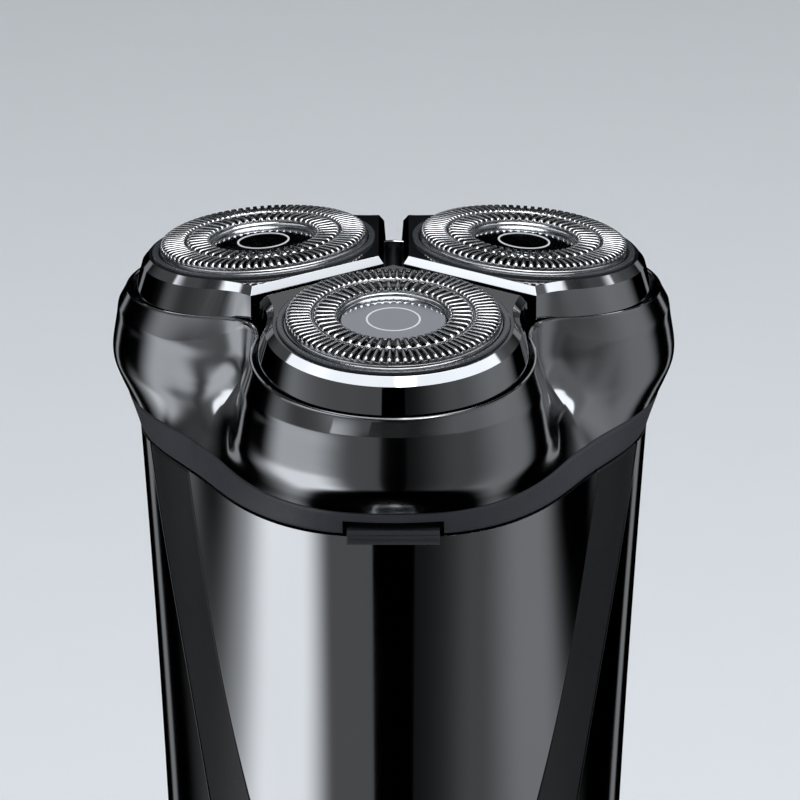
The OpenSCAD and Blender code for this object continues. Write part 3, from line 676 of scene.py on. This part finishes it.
def guard_mesh(name, place):
    verts, faces = [], []
    track(verts, faces, OUTER_TRACK, OUTER_SLOTS, 1, 7, 0.52)
    track(verts, faces, INNER_TRACK, INNER_SLOTS, 1, 6, 0.5)
    for profile in (GROOVE, CAP_WALL, GUARD_SKIRT):
        base = len(verts)
        for r, z in profile:
            verts.extend(polar(r, 360.0 * k / GUARD_STEPS, z) for k in range(GUARD_STEPS))
        faces.extend(ring_faces(GUARD_STEPS, len(profile), False, base))
    obj = build(name, verts, faces, sharp=40, place=place)
    solid = obj.modifiers.new("thickness", "SOLIDIFY")
    solid.thickness = GUARD_THICKNESS * MM
    solid.offset = -1
    return obj

for i in LOBES:
    place = at_lobe(i)
    body = f"tilting_pod_{i + 1}"
    guard = guard_mesh(f"guard_foil_{i + 1}", place)
    finish_piece(guard, body, [f"guard_{i + 1}"], "guard_steel")
    cap = lathe(f"guard_centre_{i + 1}", CAP_PROFILE, 128, closed=False, place=place, sharp=50)
    finish_piece(cap, body, [f"guard_cap_{i + 1}"], "cap_dark")
    trim = lathe(f"guard_centre_ring_{i + 1}", CAP_RING_PROFILE, 96, place=place)
    finish_piece(trim, body, [], "cap_ring")

# ---------- catch ----------

TAB_PROFILE = ((-29.1, -0.4), (-30.0, -0.4), (-30.1, -0.2), (-30.1, 0.9), (-29.85, 1.2), (-29.1, 1.2))
TAB_CORNERS = len(TAB_PROFILE)
tab_points = [(x, y, RIM_Z + z) for x in (-CATCH_HALF, CATCH_HALF) for y, z in TAB_PROFILE]
tab_ends = [tuple(range(TAB_CORNERS)), tuple(range(2 * TAB_CORNERS - 1, TAB_CORNERS - 1, -1))]
tab_sides = [(k, k + TAB_CORNERS, (k + 1) % TAB_CORNERS + TAB_CORNERS, (k + 1) % TAB_CORNERS)
             for k in range(TAB_CORNERS)]
catch_tab = build("catch_tab", tab_points, tab_ends + tab_sides)
add_bevel(catch_tab, 0.16, 3)
finish_piece(catch_tab, "latch", [], "rim_matte")

# ---------- stage ----------


def soft_light(name, at, aim, size, power):
    data = bpy.data.lights.new(name, "AREA")
    data.shape = "RECTANGLE"
    data.size, data.size_y = size
    data.energy = power
    obj = bpy.data.objects.new(name, data)
    obj.location = Vector(at)
    obj.rotation_euler = (Vector(aim) - Vector(at)).to_track_quat("-Z", "Y").to_euler()
    bpy.context.scene.collection.objects.link(obj)
    obj.visible_camera = False


def studio_world():
    """A plain backdrop for the camera, and a dark studio with soft boxes for everything else."""
    world = bpy.data.worlds.new("studio")
    bpy.context.scene.world = world
    world.use_nodes = True
    tree = world.node_tree
    tree.nodes.clear()
    link = tree.links.new

    def calc(op, a, b=None):
        node = tree.nodes.new("ShaderNodeMath")
        node.operation = op
        for k, v in enumerate((a, b)):
            if isinstance(v, (int, float)):
                node.inputs[k].default_value = v
            elif v is not None:
                link(v, node.inputs[k])
        return node.outputs[0]

    tex = tree.nodes.new("ShaderNodeTexCoord")
    split = tree.nodes.new("ShaderNodeSeparateXYZ")
    link(tex.outputs["Generated"], split.inputs[0])
    x, y, z = split.outputs
    degrees = 180 / math.pi
    turn = calc("MULTIPLY", calc("ARCTAN2", x, calc("MULTIPLY", y, -1)), degrees)
    tilt = calc("MULTIPLY", calc("ARCSINE", z), degrees)

    def step(value, start, end):
        """0 before start, 1 after end (or the other way round), smooth between."""
        node = tree.nodes.new("ShaderNodeMapRange")
        node.interpolation_type = "SMOOTHSTEP"
        low, high = (start, end) if start < end else (end, start)
        node.inputs["From Min"].default_value = low
        node.inputs["From Max"].default_value = high
        node.inputs["To Min"].default_value = 0 if start < end else 1
        node.inputs["To Max"].default_value = 1 if start < end else 0
        link(value, node.inputs["Value"])
        return node.outputs["Result"]

    total = None
    for level, (a0, a1, a2, a3), (e0, e1, e2, e3), droop in SOFT_BOXES:
        card = calc("MULTIPLY", step(turn, a0, a1), step(turn, a3, a2))
        height = calc("ADD", tilt, calc("MULTIPLY", calc("MULTIPLY", turn, turn), droop)) if droop else tilt
        card = calc("MULTIPLY", card, calc("MULTIPLY", step(height, e0, e1), step(height, e3, e2)))
        card = calc("MULTIPLY", card, level)
        total = card if total is None else calc("ADD", total, card)

    lit = tree.nodes.new("ShaderNodeBackground")
    lit.inputs["Color"].default_value = (0.94, 0.97, 1.0, 1)
    link(total, lit.inputs["Strength"])
    plain = tree.nodes.new("ShaderNodeBackground")
    plain.inputs["Color"].default_value = (0.68, 0.72, 0.77, 1)
    path = tree.nodes.new("ShaderNodeLightPath")
    mixer = tree.nodes.new("ShaderNodeMixShader")
    link(path.outputs["Is Camera Ray"], mixer.inputs["Fac"])
    link(lit.outputs[0], mixer.inputs[1])
    link(plain.outputs[0], mixer.inputs[2])
    out = tree.nodes.new("ShaderNodeOutputWorld")
    link(mixer.outputs[0], out.inputs["Surface"])


# soft boxes round the object: level, turn from the front, height, droop. Turn and height are in degrees:
# where the box starts to show, where it is full, where it starts to fade and where it is gone. A box hangs
# lower towards its sides by droop times the square of the turn.
SOFT_BOXES = [
    (0.6, (-130, -96, -60, -32), (-62, -50, -23, -12), 0),
    (0.65, (-110, -86, -62, -30), (-62, -50, -7, 10), 0),
    (0.11, (-66, -30, -9.6, -9.3), (-62, -50, 30, 40), 0),
    (0.012, (9.3, 9.6, 112, 124), (-62, -50, 30, 40), 0),
    (0.08, (10, 52, 112, 124), (-62, -50, 30, 40), 0),
    (0.16, (54, 92, 104, 124), (-62, -50, 8, 24), 0),
    (0.1, (-150, -124, -60, -20), (-4, 20, 44, 54), 0),
    (0.1, (20, 60, 124, 150), (-4, 20, 44, 54), 0),
    (0.3, (-152, -148, -144, -141), (-62, -50, 40, 50), 0),
    (0.3, (141, 144, 148, 152), (-62, -50, 40, 50), 0),
    (0.6, (-96, -72, -52, -22), (14, 26, 38, 48), 0),
    (1.8, (-113, -110, 110, 113), (50, 51.5, 58.5, 61.5), 0.0022),
    (0.5, (152, 162, 200, 201), (22, 28, 40, 48), 0),
    (0.5, (-201, -200, -162, -152), (22, 28, 40, 48), 0),
    (0.16, (-201, -200, 200, 201), (58, 68, 95, 96), 0),
]
studio_world()
soft_light("top_fill", (0.1, -0.1, 0.9), (0, 0, 0.1), (0.7, 0.7), 7)

floor = build("floor", [(-3000, -3000, 0), (3000, -3000, 0), (3000, 3000, 0), (-3000, 3000, 0)],
              [(0, 1, 2, 3)])
floor_look, floor_tree, floor_shader = material("floor_pale", (0.6, 0.64, 0.68), 0.0, 0.7)
floor_grain = noise(floor_tree, coords(floor_tree), 40, 3.0)
floor_tree.links.new(tint(floor_tree, floor_grain, (0.78, 0.82, 0.86), (0.8, 0.84, 0.88)),
                     floor_shader.inputs["Base Color"])
floor.data.materials.append(floor_look)
floor.visible_glossy = False

# camera: about half a metre away, looking down at the head
CAMERA_DISTANCE, CAMERA_PITCH = 0.5, math.radians(21.43)
SENSOR, LENS = 36.0, 204.435
AIM = Vector((0.0007, 0, 0.139))
camera_data = bpy.data.cameras.new("camera")
camera_data.sensor_width = SENSOR
camera_data.lens = LENS
camera_data.clip_start, camera_data.clip_end = 0.01, 20
camera = bpy.data.objects.new("camera", camera_data)
camera.location = AIM + Vector((0, -math.cos(CAMERA_PITCH), math.sin(CAMERA_PITCH))) * CAMERA_DISTANCE
camera.rotation_euler = (AIM - camera.location).to_track_quat("-Z", "Y").to_euler()
bpy.context.scene.collection.objects.link(camera)
bpy.context.scene.camera = camera
bpy.context.scene.view_settings.view_transform = "Standard"
